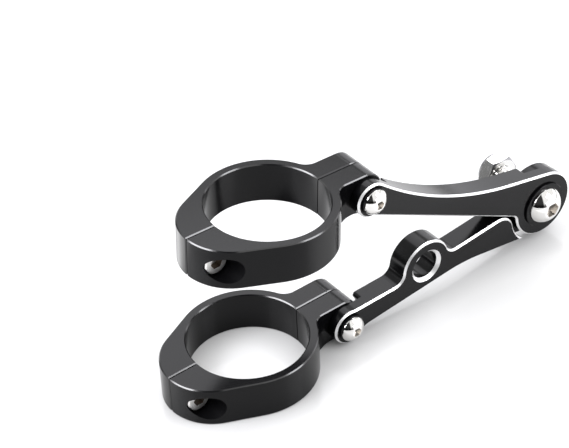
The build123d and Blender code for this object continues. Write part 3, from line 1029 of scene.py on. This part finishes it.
def gap_shade(tree, direction):
    """One all round, and the gap's share where a direction points at the gap."""
    level = add_node(tree, "ShaderNodeVectorMath", operation="MULTIPLY")
    level.inputs[1].default_value = (1, 1, 0)
    wire(tree, direction, level.inputs[0])
    compass = add_node(tree, "ShaderNodeVectorMath", operation="NORMALIZE")
    wire(tree, level.outputs[0], compass.inputs[0])
    toward = add_node(tree, "ShaderNodeVectorMath", operation="DOT_PRODUCT")
    wire(tree, compass.outputs[0], toward.inputs[0])
    gap = Matrix.Rotation(math.radians(GAP_TURN), 3, "Z") @ -line_of_sight
    toward.inputs[1].default_value = Vector((gap.x, gap.y, 0)).normalized()
    outside = math.cos(math.radians(GAP_HALF_WIDTH + GAP_BLUR))
    inside = math.cos(math.radians(GAP_HALF_WIDTH - GAP_BLUR))
    edge = (outside, inside)
    return mapped(tree, toward.outputs["Value"], edge, (1.0, GAP_SHARE), "SMOOTHSTEP")


def studio_world():
    """A white room with grey lower walls, and a dark upright gap where the camera stands."""
    world = bpy.data.worlds.new("white_studio")
    tree = cleared_tree(world)
    direction = add_node(tree, "ShaderNodeTexCoord").outputs["Generated"]
    height = parts_of(tree, direction)[2]
    walls = mapped(tree, height, WALL_RISE, (WALL_LEVEL, CEILING_LEVEL), "SMOOTHSTEP")
    shade = calc(tree, "MULTIPLY", gap_shade(tree, direction), walls)
    rays = add_node(tree, "ShaderNodeLightPath").outputs
    room = add_node(tree, "ShaderNodeBackground", Color=(1, 1, 1, 1))
    wire(tree, calc(tree, "MAXIMUM", shade, rays["Is Camera Ray"]), room.inputs["Strength"])
    output = add_node(tree, "ShaderNodeOutputWorld")
    wire(tree, room.outputs[0], output.inputs["Surface"])
    return world


bpy.context.scene.world = studio_world()
print("made", bpy.context.scene.world.name)

# %% [markdown]
# ## Soft lights
#
# Six softboxes stand round the bracket. Point lights would give hard sparks, while a softbox is itself
# a shape that satin and polish can mirror. The two at the back give the tops and the floor their
# sheen, the one at the left catches the broken edges of the clamps, the two in front fill the heads
# and the walls, and the one at the right whitens the cut chamfers.

# %% Softboxes
DAYLIGHT = (0.96, 0.96, 1.0)
# An area light with this many watts on each square metre looks as bright as white paper
PAPER_WHITE = 4.0
middle = (cad_low + cad_high) / 2
# Name, azimuth and elevation in degrees, distance, width and height in metres, glow
SOFTBOXES = (
    ("back_softbox", 54, 50, 1.6, 1.25, 0.83, 2.7),
    ("low_back_softbox", 40, 13, 1.6, 0.90, 0.66, 1.9),
    ("left_softbox", 165, 38, 0.9, 0.60, 0.42, 10.0),
    ("front_softbox", -52, 38, 0.9, 0.36, 0.36, 6.0),
    ("low_front_softbox", -59, 13, 0.9, 1.17, 0.42, 1.0),
    ("right_softbox", -14, 10, 0.9, 0.50, 0.25, 1.3),
)


def softbox(name, azimuth, elevation, distance, width, height, glow):
    """A rectangular soft light that faces the object. A glow of one is white paper."""
    data = bpy.data.lights.new(name, "AREA")
    data.shape = "RECTANGLE"
    data.size = width
    data.size_y = height
    data.energy = PAPER_WHITE * width * height * glow
    data.color = DAYLIGHT
    lamp = add_object(name, data)
    round_angle = math.radians(azimuth)
    up_angle = math.radians(elevation)
    out = Vector((math.cos(round_angle), math.sin(round_angle), 0)) * math.cos(up_angle)
    out = out + Vector((0, 0, math.sin(up_angle)))
    lamp.location = middle + out * distance
    lamp.rotation_euler = (-out).to_track_quat("-Z", "Y").to_euler()


for panel in SOFTBOXES:
    softbox(*panel)
print(len(SOFTBOXES), "softboxes aim at", [round(v / MM, 1) for v in middle])

# %% [markdown]
# ## The view
#
# The colours are shown plainly, with the Standard view.

# %% Finish
bpy.context.scene.view_settings.view_transform = "Standard"
